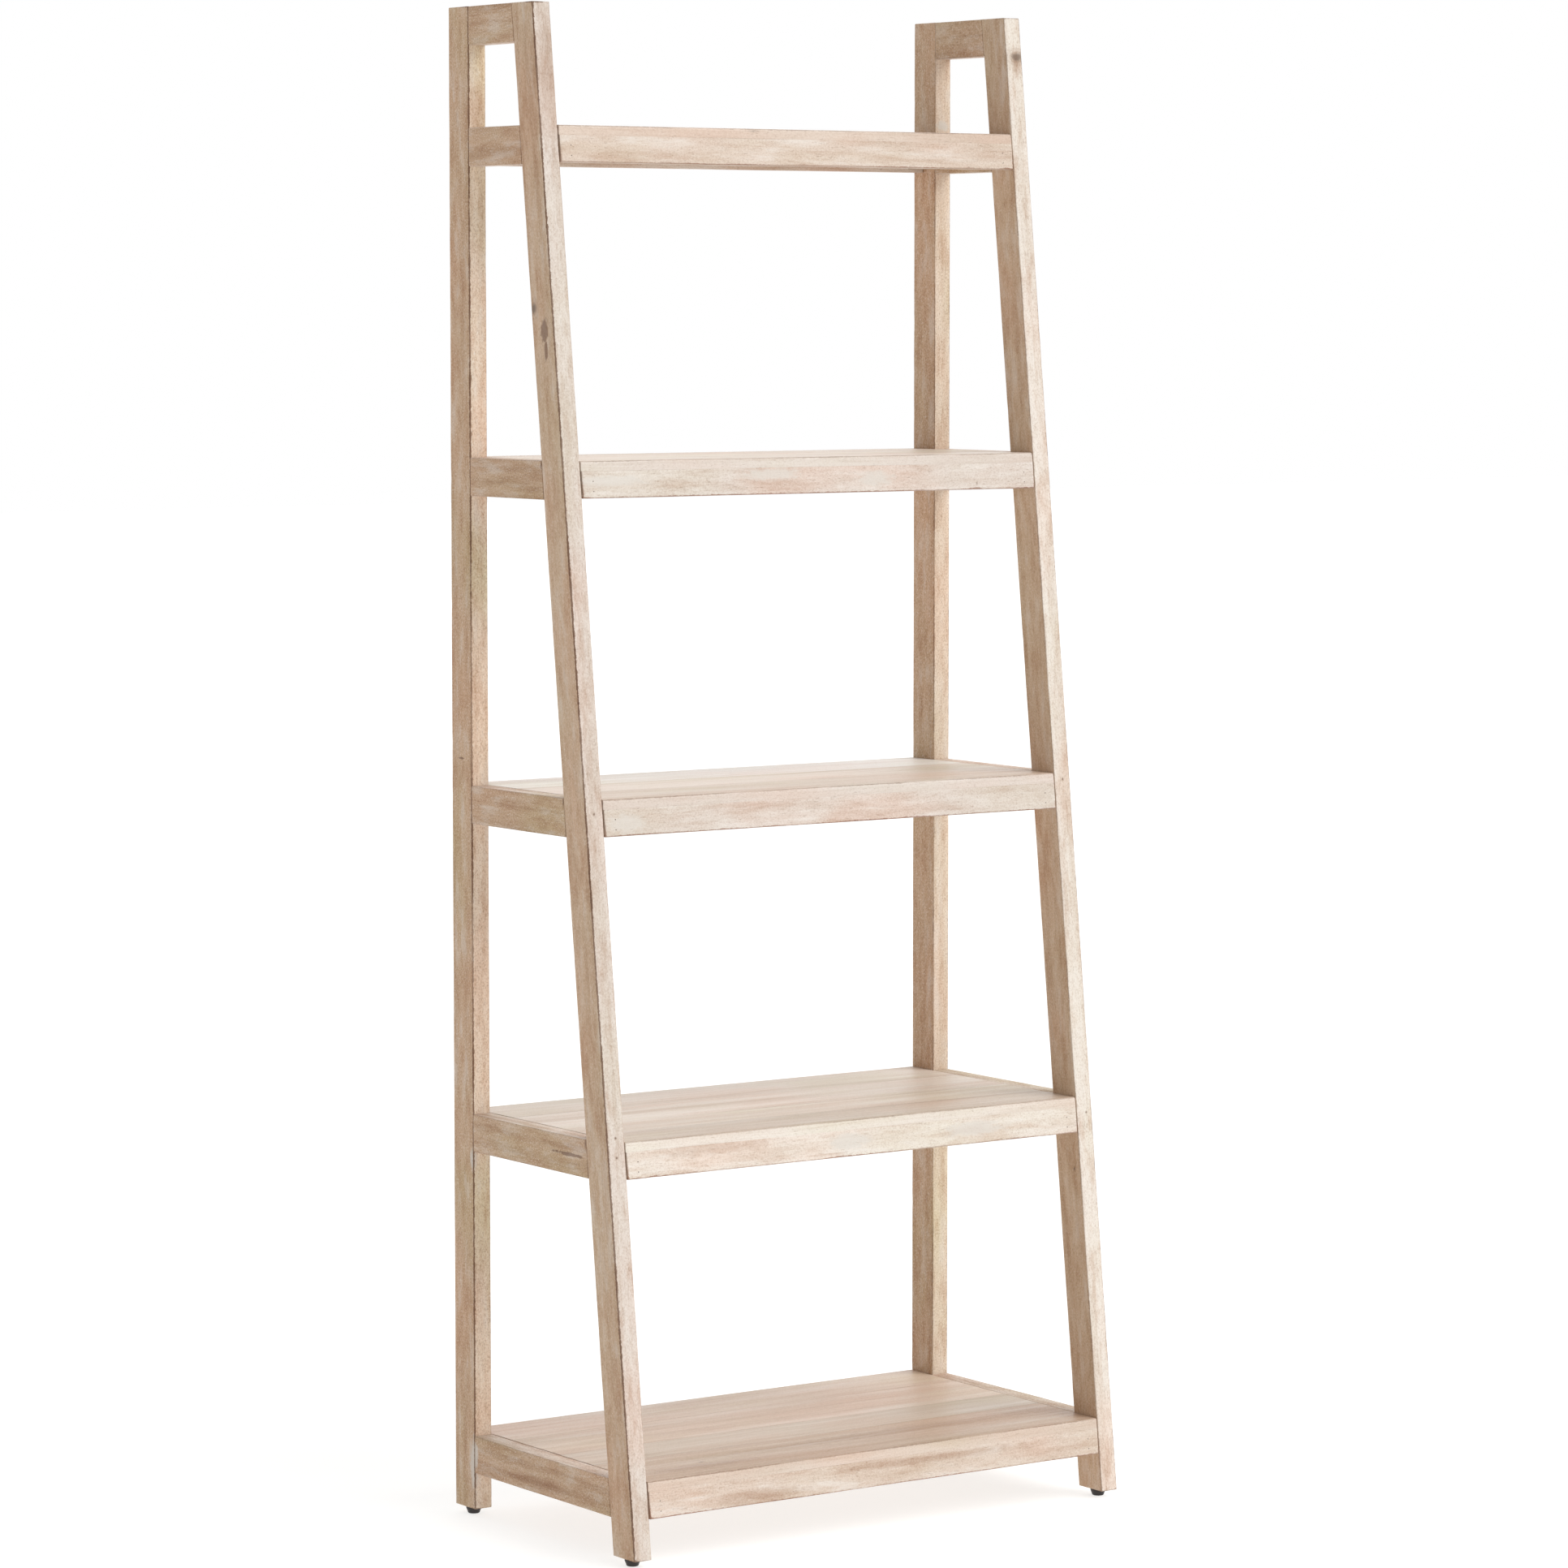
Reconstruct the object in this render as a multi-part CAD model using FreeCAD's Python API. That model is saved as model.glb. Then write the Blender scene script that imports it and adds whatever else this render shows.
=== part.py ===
import FreeCAD, Part
import math
import os
from FreeCAD import Vector

# A five-tier ladder shelf: two side frames, five boarded shelves and four levelling feet.
# Millimetres. X runs from left to right, Y from front to back and Z up.
# The origin is on the floor, in the middle of the footprint.

# Overall size
HEIGHT = 1830.0
WIDTH = 716.0
DEPTH_AT_BOTTOM = 400.0      # front of the legs to back of the posts, at their bottom ends
DEPTH_AT_TOP = 188.0
FOOT_HEIGHT = 9.0            # the wood starts this far above the floor

# Side frames
FRAME_THICKNESS = 24.0       # along X, the same for posts, legs and rails
POST_DEPTH = 45.0
LEG_DEPTH = 46.0             # measured level, along Y
RAIL_HEIGHT = 46.0
TENON_THICKNESS = 8.0
TENON_SHOULDER = 6.0         # rail height left above and below a tenon
TENON_LENGTH = 18.0
MORTISE_SPARE = 0.5          # a mortise is this much deeper than its tenon is long

# Shelves, listed from the bottom one up
SHELF_TOPS = (100.0, 496.0, 896.0, 1292.0, 1686.0)
BOARD_WIDTHS = ((92.0, 108.0, 72.0), (96.0, 104.0, 70.0), (108.0, 92.0), (84.0, 84.0), (98.0,))
BOARD_THICKNESS = 12.0       # the front board of each shelf takes the depth that the others leave
BOARD_GAPS = (1.2, 0.6)      # from board end to side frame, at the left and at the right
APRON_THICKNESS = 20.0
APRON_HEIGHT = 32.0
APRON_GAPS = (2.2, 0.6)
BATTEN_THICKNESS = 24.0
BATTEN_HEIGHT = 28.0

# Edge softening
ARRIS = 1.2
SHELF_NOSING = 2.5
APRON_LIP = 2.0

# Countersunk screws from each batten into its side rail
SCREW_RADIUS = 2.0
SCREW_HEAD_RADIUS = 4.2
SCREW_HEAD_HEIGHT = 2.8
SCREW_LENGTH = 42.0
SCREW_TIP = 4.0
SCREW_INSET = 45.0           # from the batten's ends
LONG_BATTEN = 220.0          # a batten longer than this has a third screw in the middle
RECESS_LENGTH = 4.4
RECESS_WIDTH = 1.0
RECESS_DEPTH = 1.8

# Punched pin nails from each apron into the battens' end grain
NAIL_RADIUS = 0.8
NAIL_LENGTH = 36.0
NAIL_PUNCH = 1.0             # depth of the nail head below the apron's face
NAIL_INSET = 15.0            # from the apron's ends
NAIL_DROPS = (12.0, 24.0)    # below the apron's top edge

# Levelling feet: M6 stud with a disc head held in a moulded pad, running in a threaded insert
PAD_HEIGHT = 8.8
PAD_TOP_RADIUS = 9.4
PAD_BASE_RADIUS = 7.6
PAD_RIM = 2.4
PAD_BASE_ROUND = 2.0
STUD_RADIUS = 3.0
STUD_TOP = 38.0              # height of the stud's end with the foot screwed fully in
STUD_CHAMFER = 0.8
STUD_HEAD_RADIUS = 5.0
STUD_HEAD_BASE = 3.4
STUD_HEAD_HEIGHT = 2.8
RUNNING_GAP = 0.08           # radial, between the stud and the pad or insert
HEAD_PLAY = 0.2              # between the stud's head and the floor or roof of its socket
INSERT_RADIUS = 4.8
INSERT_LENGTH = 15.0
INSERT_FLANGE_RADIUS = 6.2
INSERT_FLANGE = 1.2
INSERT_GROOVE = 0.5
STUD_HOLE_RADIUS = 3.6
STUD_HOLE_SPARE = 4.0        # depth of the leg's hole beyond the stud's end

# Values worked out from the driving dimensions
LEAN = (DEPTH_AT_BOTTOM - DEPTH_AT_TOP) / (HEIGHT - FOOT_HEIGHT)
FRONT = -DEPTH_AT_BOTTOM / 2
BACK = DEPTH_AT_BOTTOM / 2
POST_FRONT = BACK - POST_DEPTH
INNER = WIDTH / 2 - FRAME_THICKNESS
FRAME_MIDDLE = WIDTH / 2 - FRAME_THICKNESS / 2
LEVEL_Y = Vector(0, 1, 0)
LEVEL_X = Vector(1, 0, 0)
UPRIGHT = Vector(0, 0, 1)
LEANING = Vector(0, LEAN, 1).normalize()
SIDES = {"left": -1, "right": 1}


def front_y(z):
    """Y of the plane that holds the front faces of the legs and shelves, at height z."""
    return FRONT + LEAN * (z - FOOT_HEIGHT)


def leaning(offset):
    """Face parallel to the front of the legs, moved back by offset."""
    return lambda z: front_y(z) + offset


def upright(y):
    """Face that stands straight up at y."""
    return lambda z: y


def block(x_span, front_face, back_face, z_span):
    """Solid with level top and bottom between two faces that run along X."""
    bottom, top = z_span
    start, end = sorted(x_span)
    outline = [
        Vector(start, front_face(bottom), bottom),
        Vector(start, back_face(bottom), bottom),
        Vector(start, back_face(top), top),
        Vector(start, front_face(top), top),
    ]
    face = Part.Face(Part.makePolygon(outline + outline[:1]))
    return face.extrude(Vector(end - start, 0, 0))


def edges_along(shape, direction):
    """Straight edges of shape that run along direction."""
    found = []
    for edge in shape.Edges:
        run = edge.Vertexes[-1].Point - edge.Vertexes[0].Point
        if run.Length > 0 and run.normalize().cross(direction).Length < 1e-6:
            found.append(edge)
    return found


def soften(shape, direction, radius=ARRIS):
    """Round the four long edges of a bar that runs along direction."""
    return shape.makeFillet(radius, edges_along(shape, direction))


def soften_edge(shape, y, z, radius):
    """Round the edge along X that passes through y and z."""
    near = [edge for edge in edges_along(shape, LEVEL_X)
            if abs(edge.Vertexes[0].Y - y) < 0.01 and abs(edge.Vertexes[0].Z - z) < 0.01]
    return shape.makeFillet(radius, near)


def frame_span(side):
    """X span of a side frame."""
    return (SIDES[side] * INNER, SIDES[side] * WIDTH / 2)


def rail_tongue(side, top, reach):
    """Bar through a rail's core whose ends stand out by reach as the rail's two tenons."""
    middle = SIDES[side] * FRAME_MIDDLE
    half = TENON_THICKNESS / 2
    z_span = (top - RAIL_HEIGHT + TENON_SHOULDER, top - TENON_SHOULDER)
    return block((middle - half, middle + half), leaning(LEG_DEPTH - reach), upright(POST_FRONT + reach), z_span)


def cut_mortises(upright_part, side):
    """Cut a blind mortise for every rail of a side frame."""
    for top in SHELF_TOPS + (HEIGHT,):
        upright_part = upright_part.cut(rail_tongue(side, top, TENON_LENGTH + MORTISE_SPARE))
    return upright_part


def foot_hole(x, y):
    """Hole in the bottom end of a leg or post for the threaded insert and the stud."""
    mouth = Vector(x, y, FOOT_HEIGHT)
    flange = Part.makeCylinder(INSERT_FLANGE_RADIUS, INSERT_FLANGE, mouth)
    seat = Part.makeCylinder(INSERT_RADIUS, INSERT_LENGTH, mouth)
    depth = STUD_TOP + STUD_HOLE_SPARE - FOOT_HEIGHT
    return flange.fuse([seat, Part.makeCylinder(STUD_HOLE_RADIUS, depth, mouth)])


def foot_places():
    """Foot name to the X and Y of its axis, in the middle of each leg's and post's bottom end."""
    places = {}
    for side, sign in SIDES.items():
        places[side + "_front"] = (sign * FRAME_MIDDLE, FRONT + LEG_DEPTH / 2)
        places[side + "_back"] = (sign * FRAME_MIDDLE, BACK - POST_DEPTH / 2)
    return places


def back_post(side):
    """Upright post at the back of a side frame."""
    bar = block(frame_span(side), upright(POST_FRONT), upright(BACK), (FOOT_HEIGHT, HEIGHT))
    bar = cut_mortises(soften(bar, UPRIGHT), side)
    return bar.cut(foot_hole(*foot_places()[side + "_back"]))


def front_leg(side):
    """Leg that leans back from the floor to the top rail."""
    bar = block(frame_span(side), leaning(0), leaning(LEG_DEPTH), (FOOT_HEIGHT, HEIGHT))
    bar = cut_mortises(soften(bar, LEANING), side)
    return bar.cut(foot_hole(*foot_places()[side + "_front"]))


def rail(side, top):
    """Level rail between leg and post, with a tenon on each end."""
    bar = block(frame_span(side), leaning(LEG_DEPTH), upright(POST_FRONT), (top - RAIL_HEIGHT, top))
    return soften(bar, LEVEL_Y).fuse(rail_tongue(side, top, TENON_LENGTH)).removeSplitter()


def between_frames(gaps):
    """X span of a piece between the side frames that leaves the given end gaps."""
    return (-INNER + gaps[0], INNER - gaps[1])


def boards(top, widths):
    """Edge-glued boards of one shelf, from the back one to the front one."""
    x_span = between_frames(BOARD_GAPS)
    z_span = (top - BOARD_THICKNESS, top)
    pieces = []
    edge = BACK
    for width in widths:
        pieces.append(block(x_span, upright(edge - width), upright(edge), z_span))
        edge -= width
    pieces.append(block(x_span, leaning(0), upright(edge), z_span))
    pieces[0] = soften_edge(pieces[0], BACK, top, ARRIS)
    pieces[-1] = soften_edge(pieces[-1], front_y(top), top, SHELF_NOSING)
    return pieces


def apron_span(top):
    """Z span of the aprons under a shelf's boards."""
    return (top - BOARD_THICKNESS - APRON_HEIGHT, top - BOARD_THICKNESS)


def front_apron(top):
    """Bar under the front board, flush with its leaning front face."""
    z_span = apron_span(top)
    bar = block(between_frames(APRON_GAPS), leaning(0), leaning(APRON_THICKNESS), z_span)
    return soften_edge(bar, front_y(z_span[0]), z_span[0], APRON_LIP)


def back_apron(top):
    """Bar under the back board, flush with the backs of the posts."""
    z_span = apron_span(top)
    bar = block(between_frames(APRON_GAPS), upright(BACK - APRON_THICKNESS), upright(BACK), z_span)
    return soften_edge(bar, BACK, z_span[0], APRON_LIP)


def batten(side, top):
    """Bar under the board ends, between the aprons and against the side rail."""
    sign = SIDES[side]
    underside = top - BOARD_THICKNESS
    z_span = (underside - BATTEN_HEIGHT, underside)
    x_span = (sign * (INNER - BATTEN_THICKNESS), sign * INNER)
    return block(x_span, leaning(APRON_THICKNESS), upright(BACK - APRON_THICKNESS), z_span)


def screw(direction):
    """Countersunk cross-head screw from the origin along direction, a unit vector along X."""
    shank_length = SCREW_LENGTH - SCREW_TIP
    shank = Part.makeCylinder(SCREW_RADIUS, shank_length, Vector(), direction)
    tip = Part.makeCone(SCREW_RADIUS, 0, SCREW_TIP, direction * shank_length, direction)
    head = Part.makeCone(SCREW_HEAD_RADIUS, SCREW_RADIUS, SCREW_HEAD_HEIGHT, Vector(), direction)
    return shank.fuse([tip, head]).removeSplitter()


def cross_recess(direction):
    """Cross-shaped recess for the driver in the head of a screw at the origin."""
    start = min(0, direction.x * RECESS_DEPTH)
    arm = Part.makeBox(RECESS_DEPTH, RECESS_LENGTH, RECESS_WIDTH,
                       Vector(start, -RECESS_LENGTH / 2, -RECESS_WIDTH / 2))
    other = Part.makeBox(RECESS_DEPTH, RECESS_WIDTH, RECESS_LENGTH,
                         Vector(start, -RECESS_WIDTH / 2, -RECESS_LENGTH / 2))
    return arm.fuse(other)


def screw_places(side, top):
    """Places of the screw heads on a batten's inner face."""
    z = top - BOARD_THICKNESS - BATTEN_HEIGHT / 2
    first = front_y(z) + APRON_THICKNESS + SCREW_INSET
    last = BACK - APRON_THICKNESS - SCREW_INSET
    along = [first, last]
    if last - first + 2 * SCREW_INSET > LONG_BATTEN:
        along.insert(1, (first + last) / 2)
    x = SIDES[side] * (INNER - BATTEN_THICKNESS)
    return [Vector(x, y, z) for y in along]


def shelf_screws(side, top):
    """Plain screw solids of one batten, with no recess."""
    whole = screw(LEVEL_X * SIDES[side])
    return [whole.translated(place) for place in screw_places(side, top)]


def nail_places(top, front):
    """Head places of the nails in one apron of a shelf."""
    places = []
    start, end = between_frames(APRON_GAPS)
    for x in (start + NAIL_INSET, end - NAIL_INSET):
        for drop in NAIL_DROPS:
            z = top - BOARD_THICKNESS - drop
            y = front_y(z) if front else BACK
            places.append(Vector(x, y, z))
    return places


def nails(top, front, punch):
    """Nails of one apron; with no punch they start at the face, which is the shape of their holes."""
    into = LEVEL_Y if front else -LEVEL_Y
    length = NAIL_LENGTH - punch
    return [Part.makeCylinder(NAIL_RADIUS, length, place + into * punch, into)
            for place in nail_places(top, front)]


def foot_pad(x, y):
    """Moulded pad, turned about its axis, with a socket for the stud's head."""
    flat = PAD_BASE_RADIUS - PAD_BASE_ROUND
    middle = PAD_BASE_ROUND * math.sqrt(0.5)
    socket_base = STUD_HEAD_BASE - HEAD_PLAY
    socket_top = STUD_HEAD_BASE + STUD_HEAD_HEIGHT + HEAD_PLAY
    socket_radius = STUD_HEAD_RADIUS + RUNNING_GAP
    neck_radius = STUD_RADIUS + RUNNING_GAP
    rounded = Part.Arc(Vector(flat, 0, 0),
                       Vector(flat + middle, 0, PAD_BASE_ROUND - middle),
                       Vector(PAD_BASE_RADIUS, 0, PAD_BASE_ROUND)).toShape()
    outline = [
        Vector(PAD_BASE_RADIUS, 0, PAD_BASE_ROUND),
        Vector(PAD_TOP_RADIUS, 0, PAD_HEIGHT - PAD_RIM),
        Vector(PAD_TOP_RADIUS, 0, PAD_HEIGHT),
        Vector(neck_radius, 0, PAD_HEIGHT),
        Vector(neck_radius, 0, socket_top),
        Vector(socket_radius, 0, socket_top),
        Vector(socket_radius, 0, socket_base),
        Vector(0, 0, socket_base),
        Vector(0, 0, 0),
        Vector(flat, 0, 0),
    ]
    section = Part.Face(Part.Wire([rounded] + Part.makePolygon(outline).Edges))
    return section.revolve(Vector(), UPRIGHT, 360).translated(Vector(x, y, 0))


def foot_stud(x, y):
    """Stud with a disc head at its lower end and a chamfered tip."""
    base = Vector(x, y, STUD_HEAD_BASE)
    head = Part.makeCylinder(STUD_HEAD_RADIUS, STUD_HEAD_HEIGHT, base)
    shank_length = STUD_TOP - STUD_CHAMFER - STUD_HEAD_BASE
    shank = Part.makeCylinder(STUD_RADIUS, shank_length, base)
    tip = Part.makeCone(STUD_RADIUS, STUD_RADIUS - STUD_CHAMFER, STUD_CHAMFER, base + UPRIGHT * shank_length)
    return head.fuse([shank, tip]).removeSplitter()


def threaded_insert(x, y):
    """Flanged insert pressed into the bottom end of a leg, with two grooves that grip the wood."""
    mouth = Vector(x, y, FOOT_HEIGHT)
    body = Part.makeCylinder(INSERT_RADIUS, INSERT_LENGTH, mouth)
    body = body.fuse(Part.makeCylinder(INSERT_FLANGE_RADIUS, INSERT_FLANGE, mouth)).removeSplitter()
    body = body.cut(Part.makeCylinder(STUD_RADIUS + RUNNING_GAP, INSERT_LENGTH, mouth))
    groove_width = INSERT_LENGTH / 6
    for step in (2, 4):
        start = mouth + UPRIGHT * (step * groove_width)
        ring = Part.makeCylinder(INSERT_RADIUS, groove_width, start)
        core = Part.makeCylinder(INSERT_RADIUS - INSERT_GROOVE, groove_width, start)
        body = body.cut(ring.cut(core))
    return body


def side_frame_nodes(side):
    """Nodes of one side frame."""
    nodes = {
        side + "_back_post": back_post(side),
        side + "_front_leg": front_leg(side),
        side + "_top_rail": rail(side, HEIGHT),
    }
    for level, top in enumerate(SHELF_TOPS, 1):
        nodes[f"{side}_side_rail_{level}"] = rail(side, top).cut(shelf_screws(side, top))
    return nodes


def shelf_nodes(level, top):
    """Nodes of one shelf: its boards, two aprons and pair of battens."""
    nodes = {}
    for number, board in enumerate(boards(top, BOARD_WIDTHS[level - 1]), 1):
        nodes[f"shelf_{level}_board_{number}"] = board
    front_holes = nails(top, True, 0)
    back_holes = nails(top, False, 0)
    nodes[f"shelf_{level}_front_apron"] = front_apron(top).cut(front_holes)
    nodes[f"shelf_{level}_back_apron"] = back_apron(top).cut(back_holes)
    pair = []
    for side in SIDES:
        pair.append(batten(side, top).cut(shelf_screws(side, top) + front_holes + back_holes))
    nodes[f"shelf_{level}_battens"] = Part.makeCompound(pair)
    return nodes


def fastener_nodes():
    """One node of screws and one of nails, each a group of separate solids."""
    screws = []
    pins = []
    for top in SHELF_TOPS:
        for side, sign in SIDES.items():
            finished = screw(LEVEL_X * sign).cut(cross_recess(LEVEL_X * sign))
            screws += [finished.translated(place) for place in screw_places(side, top)]
        pins += nails(top, True, NAIL_PUNCH) + nails(top, False, NAIL_PUNCH)
    return {"shelf_screws": Part.makeCompound(screws), "apron_nails": Part.makeCompound(pins)}


def foot_nodes():
    """Pads and studs of the levelling feet, and the group of inserts that they screw into."""
    nodes = {}
    inserts = []
    for name, (x, y) in foot_places().items():
        nodes[name + "_foot_pad"] = foot_pad(x, y)
        nodes[name + "_foot_stud"] = foot_stud(x, y)
        inserts.append(threaded_insert(x, y))
    nodes["foot_inserts"] = Part.makeCompound(inserts)
    return nodes


def all_nodes():
    """Node name to shape for the whole ladder shelf."""
    nodes = {}
    for side in SIDES:
        nodes.update(side_frame_nodes(side))
    for level, top in enumerate(SHELF_TOPS, 1):
        nodes.update(shelf_nodes(level, top))
    nodes.update(fastener_nodes())
    nodes.update(foot_nodes())
    return nodes


os.makedirs("parts", exist_ok=True)
for node, shape in all_nodes().items():
    shape.exportStep(os.path.join("parts", node + ".step"))
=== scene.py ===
import math
import bmesh
import bpy
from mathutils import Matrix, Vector, noise


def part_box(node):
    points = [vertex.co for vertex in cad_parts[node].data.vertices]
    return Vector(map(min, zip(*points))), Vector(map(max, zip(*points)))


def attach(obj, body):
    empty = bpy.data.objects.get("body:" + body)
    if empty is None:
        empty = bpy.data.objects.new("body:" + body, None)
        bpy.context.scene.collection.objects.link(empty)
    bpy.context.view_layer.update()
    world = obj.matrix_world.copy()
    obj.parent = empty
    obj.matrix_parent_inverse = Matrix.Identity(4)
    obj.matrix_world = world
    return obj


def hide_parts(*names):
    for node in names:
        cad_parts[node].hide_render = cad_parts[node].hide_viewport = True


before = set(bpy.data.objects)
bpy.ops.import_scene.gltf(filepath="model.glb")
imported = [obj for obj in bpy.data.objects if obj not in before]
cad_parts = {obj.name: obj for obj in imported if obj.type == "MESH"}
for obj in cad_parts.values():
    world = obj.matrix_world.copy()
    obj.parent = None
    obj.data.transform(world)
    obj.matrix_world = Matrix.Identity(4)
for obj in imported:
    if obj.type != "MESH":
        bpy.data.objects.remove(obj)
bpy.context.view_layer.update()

# A ladder shelf of bleached, whitewashed hardwood. Metres, unless a name ends in _MM.
# X runs from left to right, Y from front to back and Z up.

MM = 0.001
LEVELS = range(1, 6)         # shelves, from the bottom up

# Camera, on the photograph's side of the shelf
CAMERA_PLACE = Vector((-3.913, -5.624, 1.4776))
CAMERA_YAW = 0.6071
CAMERA_PITCH = -0.0853
CAMERA_LENS = 129.27
SENSOR_WIDTH = 36.0
VIEW_DEPTH = 200.0

# Stage and soft studio light
FLOOR_HALF = 30.0
FLOOR_TONES = ((0.40, 0.40, 0.40), (0.42, 0.42, 0.415))
FLOOR_GLOW = 1.75            # keeps the floor near white while it reflects little onto the shelf
WORLD_FILL = 0.42
KEY_SUN = {"strength": 2.1, "direction": (-0.45, 0.70, -0.80), "spread": 50.0}
BACK_SUN = {"strength": 0.7, "direction": (-0.15, -0.70, -0.70), "spread": 60.0}

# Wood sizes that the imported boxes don't give directly
LEG_DEPTH = 0.046
APRON_THICKNESS = 0.020

# Mesh of a wooden piece
RING_STEP = 0.011            # distance between cross-sections along a piece
COLUMN_STEP = 0.014          # the same across a wide face
EDGE_COLUMNS_MM = (3.4, 6.5)  # columns beside each arris
MIDDLE_GAP_MM = 1.5          # least distance from such a column to the face's middle
ARC_STEPS = 4
END_ROUND_MM = 0.5
END_RING_MM = 2.5            # first full ring behind a rounded end
CAP_SHRINKS = (0.86, 0.6, 0.25)  # sizes of the rings that fill an end, as shares of the section

# Unevenness of a wooden piece. A RATE is how fast the noise changes along it, per metre.
BOW_MM = 0.12
BOW_RATE = 6
RUB_RATE = 22
RUB_DEPTH = 0.35
DENT_RATE = 70
DENT_ONSET = 0.38            # noise value above which an arris is dented
DENT_DEPTH = 2.2
SEEDS = 997                  # number of different seeds that names can give
SEED_SHIFT = (0.013, 0.007, 0.017)  # how far one seed moves the pattern of the wood

# Arris radii in millimetres
FRAME_ARRIS_MM = 1.2
NOSING_MM = 2.4
APRON_LIP_MM = 1.9
TIGHT_ARRIS_MM = 0.2         # at glue lines
SEAM_ARRIS_MM = 0.08         # where the front of a board runs on into its apron

FLANGE_MM = 0.3              # how far the flanges of the foot inserts stand below the wood

# Pin nails in the aprons
NAIL_INSET = 0.015
NAIL_DROPS = (0.012, 0.024)
NAIL_PROFILE_MM = (           # radius and depth below the apron's face
    (0.0, -0.12), (0.55, -0.08), (0.95, 0.05), (0.95, 0.5), (0.8, 0.7), (0.8, 34.0), (0.0, 36.0),
)
NAIL_SIDES = 12

# Studs of the levelling feet. Heights are above the floor, with the foot screwed in.
STUD_SIDES = 24
STUD_HEAD_MM = (              # height and radius
    (3.4, 4.8), (3.6, 5.0), (6.0, 5.0), (6.2, 4.8), (6.2, 2.9), (9.2, 2.9),
)
STUD_TIP_MM = ((37.5, 2.5), (38.0, 2.1))
THREAD_START_MM = 9.4
THREAD_END_MM = 37.2
THREAD_RADIUS_MM = 2.96
THREAD_DEPTH_MM = 0.42
THREAD_PITCH_MM = 1.0
THREAD_RINGS_PER_TURN = 6

BATTEN_EDGE_MM = 0.6         # width of the bevels on the battens

# Wood tones, as linear albedo
CREAM = (0.675, 0.56, 0.47)
PALE_CREAM = (0.685, 0.605, 0.54)
WHITE_CREAM = (0.775, 0.705, 0.63)
WARM_CREAM = (0.84, 0.695, 0.555)
BUFF_CREAM = (0.76, 0.64, 0.51)
# Tone of the third shelf's back board, paler than the wood: a painted highlight, its sheen painted into
# the colour
BOARD_PAINTED_HIGHLIGHT = (0.79, 0.745, 0.70)
BOARD_CREAM = (0.69, 0.595, 0.51)
BOARD_SAND = (0.625, 0.52, 0.425)
BOARD_BUFF = (0.57, 0.465, 0.37)
BOARD_PINK = (0.665, 0.52, 0.415)
BOARD_BROWN = (0.52, 0.385, 0.28)
# Tones of the faces of the uprights and rails that look left and right: partly the wood's own tan,
# partly painted shade that keeps those faces darker than the fronts
LEG_FLANK_TAN_AND_SHADE = (0.61, 0.445, 0.305)
POST_FLANK_TAN_AND_SHADE = (0.605, 0.425, 0.28)
RAIL_FLANK_TAN_AND_SHADE = (0.59, 0.415, 0.275)
BATTEN_TAN = (0.58, 0.465, 0.355)
FILLER_WHITE = (0.66, 0.61, 0.55)
CHALK_WHITE = (0.80, 0.755, 0.70)
DUST_WHITE = (0.84, 0.80, 0.75)
KNOT_HEART = (0.16, 0.105, 0.07)

# Tints that the wood's colour is multiplied by
STAIN_TINT = (0.70, 0.58, 0.50)
SCAR_TINT = (0.42, 0.34, 0.30)
KNOT_RING_TINT = (0.60, 0.50, 0.43)
JOINT_TINT = (0.42, 0.34, 0.28)
SAWN_BARE = (0.30, 0.21, 0.155)
BRUSHED_BARE = (0.46, 0.27, 0.20)

# Stored on pieces without marks: a place too far from any mark for it to show
FAR = Vector((99.0, 99.0, 99.0))


# ---------------------------------------------------------------- shapes

LEG_LOW, LEG_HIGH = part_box("left_front_leg")
POST_LOW, POST_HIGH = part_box("left_back_post")
LEAN = (LEG_HIGH.y - LEG_DEPTH - LEG_LOW.y) / (LEG_HIGH.z - LEG_LOW.z)


def leaning(offset):
    """Face parallel to the front of the legs, moved back by offset."""
    return lambda z: LEG_LOW.y + LEAN * (z - LEG_LOW.z) + offset


def upright(y):
    """Face that stands straight up at y."""
    return lambda z: y


class Timber:
    """One sawn piece: a box whose front and back faces may lean, with grain along one axis."""

    def __init__(self, node, grain, front, back, arrises, wear, tone, side_tone=None):
        low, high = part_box(node)
        self.node = node
        self.grain = grain
        self.x = (low.x, high.x)
        self.z = (low.z, high.z)
        self.front = front
        self.back = back
        self.arrises = arrises
        self.wear = wear
        self.tone = Vector(tone)
        self.side_tone = Vector(side_tone or tone)
        self.seed = sum(ord(letter) * (place + 3) for place, letter in enumerate(node)) % SEEDS
        self.section = [axis for axis in range(3) if axis != grain]

    def point(self, unit):
        """Point at unit = (x, y, z) shares of the piece's size."""
        z = self.z[0] + unit[2] * (self.z[1] - self.z[0])
        near, far = self.front(z), self.back(z)
        x = self.x[0] + unit[0] * (self.x[1] - self.x[0])
        return Vector((x, near + unit[1] * (far - near), z))

    def pattern_place(self, a, b, along):
        """Place in the pattern of the wood, moved on by the seed so that no two pieces look alike."""
        return Vector(value + self.seed * shift for value, shift in zip((a, b, along), SEED_SHIFT))

    def size(self, axis):
        """Size along an axis, taken at half height."""
        if axis == 1:
            middle = (self.z[0] + self.z[1]) / 2
            return self.back(middle) - self.front(middle)
        span = self.x if axis == 0 else self.z
        return span[1] - span[0]


def face_columns(length):
    """Distances from one end of a face to its columns, leaving out the corners."""
    limit = length / 2 - MIDDLE_GAP_MM * MM
    edge = [column * MM for column in EDGE_COLUMNS_MM if column * MM < limit] or [length / 3]
    inner = length - 2 * edge[-1]
    count = max(1, round(inner / COLUMN_STEP))
    middle = [edge[-1] + inner * step / count for step in range(1, count)]
    return edge + middle + [length - place for place in reversed(edge)]


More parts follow.
